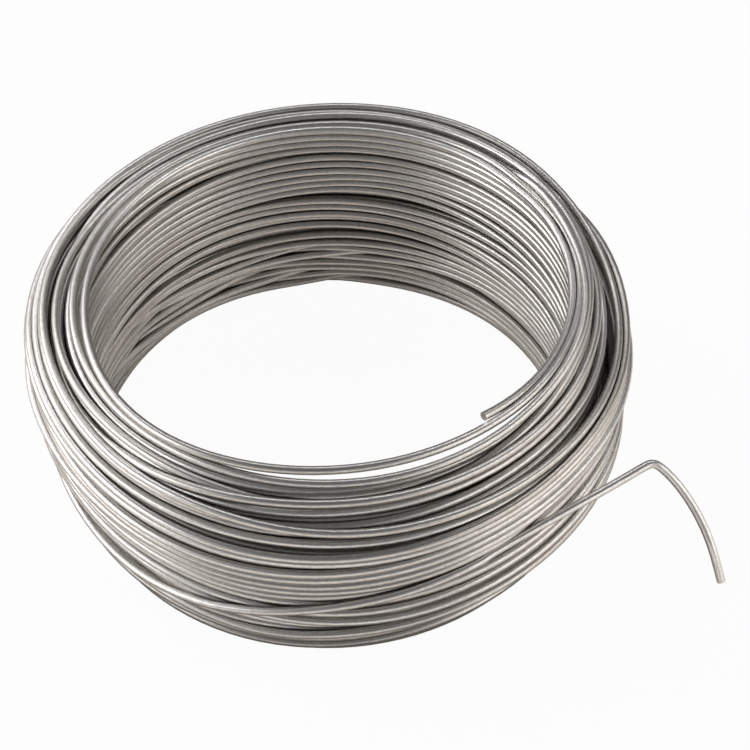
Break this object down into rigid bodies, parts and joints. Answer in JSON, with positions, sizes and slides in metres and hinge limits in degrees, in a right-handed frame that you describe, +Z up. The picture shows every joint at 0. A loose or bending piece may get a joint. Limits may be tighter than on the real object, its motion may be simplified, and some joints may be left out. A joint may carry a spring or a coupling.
{
  "type": "coil of binding wire",
  "caption": "Coil of bright drawn steel binding wire, wound in layers into a crowned ring with an open bore and a free outer end.",
  "frame": {"origin": "on the coil's axis, at the level of the end that it lies on", "axes": "+Z up the coil's axis; -Y is the front, where the outer end crosses the side; the outer end leaves the coil towards +X"},
  "size_m": [0.1613, 0.1432, 0.059],
  "materials": {
    "drawn_steel": "bright drawn steel wire, satin, with fine lengthwise drawing marks"
  },
  "bodies": {
    "root": {"wire_coil": "drawn_steel"}
  },
  "joints": []
}
